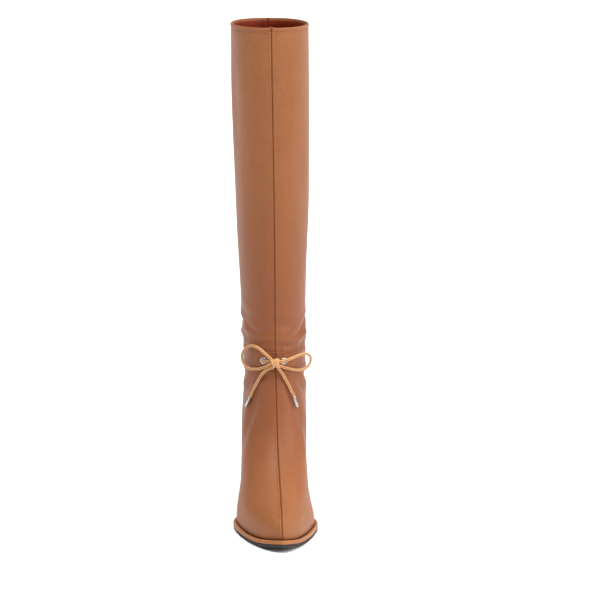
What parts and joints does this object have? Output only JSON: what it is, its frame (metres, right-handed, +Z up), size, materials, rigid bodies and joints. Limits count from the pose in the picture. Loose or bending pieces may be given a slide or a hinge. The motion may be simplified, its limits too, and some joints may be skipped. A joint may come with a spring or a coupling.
{
  "type": "knee-high boot",
  "caption": "Right knee-high pull-on boot with a tall block heel, a leather shaft open at the collar, and a lace tied in a bow at the ankle.",
  "frame": {"origin": "on the floor under the middle of the boot's box, cords left out", "axes": "+Z up the shaft, the toe points along -Y, +X is the inner (medial) side of a right boot"},
  "size_m": [0.0924, 0.2532, 0.5285],
  "materials": {
    "upper_leather": "smooth semi-gloss calf leather, cognac tan",
    "insole_leather": "matte lining leather",
    "welt_leather": "satin leather edge, lighter orange tan",
    "waist_leather": "matte beige leather",
    "heel_leather": "satin tan leather cover",
    "sole_rubber": "matte black rubber",
    "bright_metal": "polished nickel",
    "lace_leather": "light tan round leather lace"
  },
  "bodies": {
    "root": {"upper": "upper_leather", "insole": "insole_leather", "welt": "welt_leather", "waist_cover": "waist_leather", "outsole": "sole_rubber", "heel_block": "heel_leather", "top_lift": "sole_rubber", "eyelet_outer": "bright_metal", "eyelet_inner": "bright_metal", "lace_crossing": "lace_leather", "lace_knot": "lace_leather", "loop_outer": "lace_leather", "loop_inner": "lace_leather", "tail_outer": "lace_leather", "tail_inner": "lace_leather", "aglet_outer": "bright_metal", "aglet_inner": "bright_metal"}
  },
  "joints": []
}
